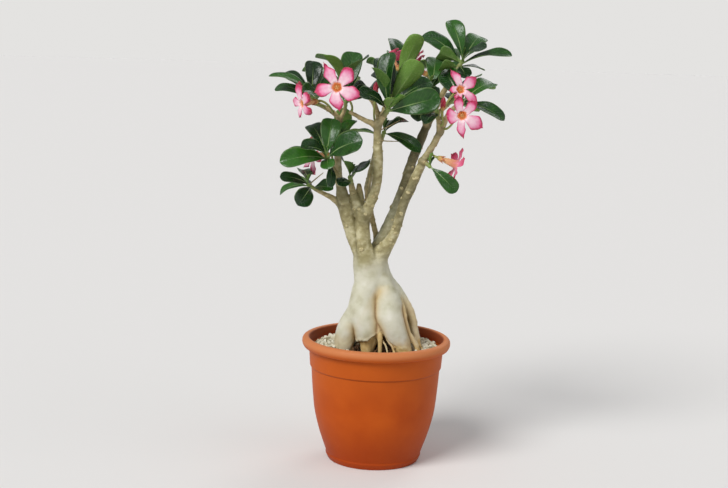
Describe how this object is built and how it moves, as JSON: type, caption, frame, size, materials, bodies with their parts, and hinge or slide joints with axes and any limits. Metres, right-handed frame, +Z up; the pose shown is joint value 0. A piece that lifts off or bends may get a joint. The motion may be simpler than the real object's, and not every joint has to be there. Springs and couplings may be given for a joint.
{
  "type": "potted desert rose adenium",
  "caption": "Desert rose with a swollen pale stem on thick roots, bare branches, leathery leaves and pink trumpet flowers, in a round terracotta-coloured plastic pot.",
  "frame": {"origin": "middle of the pot's flat underside", "axes": "+Z up along the pot's axis; the picture's viewer stands at -Y, with +X to the viewer's right"},
  "size_m": [0.3152, 0.2197, 0.591],
  "materials": {
    "pot": "satin moulded plastic, terracotta orange",
    "soil": "crumbly dark potting mix",
    "gravel": "dull off-white angular pebbles",
    "bark": "smooth pale grey-green bark, tan near the soil",
    "leaf": "glossy dark green, paler underneath, with a pale midrib",
    "petal": "velvety, white-pink at the throat and crimson at the edge",
    "stalk": "matte pale green, reddish at the cup",
    "bud": "matte crimson, twisted"
  },
  "bodies": {
    "root": {"pot": "pot", "soil": "soil", "gravel": "gravel", "stem_and_roots": "bark", "leaves_far_left": "leaf", "leaves_lower_left": "leaf", "leaves_lowest_left": "leaf", "leaves_inner_left": "leaf", "leaves_upper_left": "leaf", "leaves_centre": "leaf", "leaves_centre_rear": "leaf", "leaves_rear_low": "leaf", "leaves_right_rear": "leaf", "leaves_right_top": "leaf", "leaves_right_front": "leaf", "leaves_right_inner": "leaf", "leaves_rear_centre": "leaf", "leaves_rear_left": "leaf", "leaves_rear_right": "leaf", "leaves_spur": "leaf", "bloom_1_trumpet": "petal", "bloom_1_stalk": "stalk", "bloom_2_trumpet": "petal", "bloom_2_stalk": "stalk", "bloom_3_trumpet": "petal", "bloom_3_stalk": "stalk", "bloom_4_trumpet": "petal", "bloom_4_stalk": "stalk", "bloom_5_trumpet": "petal", "bloom_5_stalk": "stalk", "bloom_6_trumpet": "petal", "bloom_6_stalk": "stalk", "bloom_7_trumpet": "petal", "bloom_7_stalk": "stalk", "bloom_8_trumpet": "petal", "bloom_8_stalk": "stalk", "bloom_9_trumpet": "petal", "bloom_9_stalk": "stalk", "bud_1_tip": "bud", "bud_1_stalk": "stalk", "bud_2_tip": "bud", "bud_2_stalk": "stalk", "bud_3_tip": "bud", "bud_3_stalk": "stalk"}
  },
  "joints": []
}
